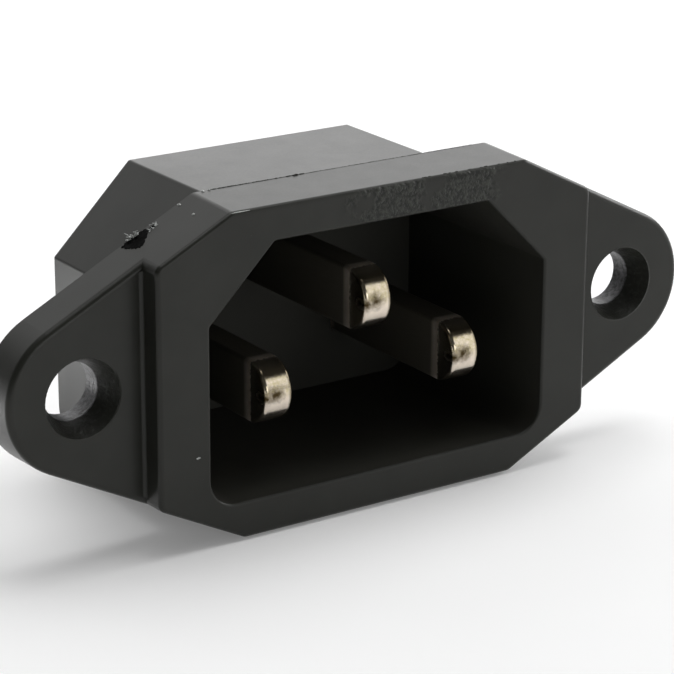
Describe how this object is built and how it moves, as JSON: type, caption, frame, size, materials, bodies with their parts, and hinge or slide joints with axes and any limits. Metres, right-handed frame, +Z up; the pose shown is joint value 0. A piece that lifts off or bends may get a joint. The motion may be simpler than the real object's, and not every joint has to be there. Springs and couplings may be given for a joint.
{
  "type": "c14 panel inlet socket",
  "caption": "Panel-mounted mains inlet: a moulded housing with a deep chamfered socket, flat pins, rear wiring tabs and countersunk screw ears.",
  "frame": {"origin": "midway between the two screw holes, on the back face of the flange that lies on the panel", "axes": "+X along the screw ears, +Y into the panel towards the wiring tabs, +Z up with the earth pin above the other two; the mouth faces -Y"},
  "size_m": [0.0498, 0.0236, 0.0209],
  "materials": {
    "housing_plastic": "black moulded plastic, satin",
    "plated_metal": "bright nickel plating, lightly marked"
  },
  "bodies": {
    "root": {"housing": "housing_plastic", "left_terminal": "plated_metal", "right_terminal": "plated_metal", "earth_terminal": "plated_metal"}
  },
  "joints": []
}
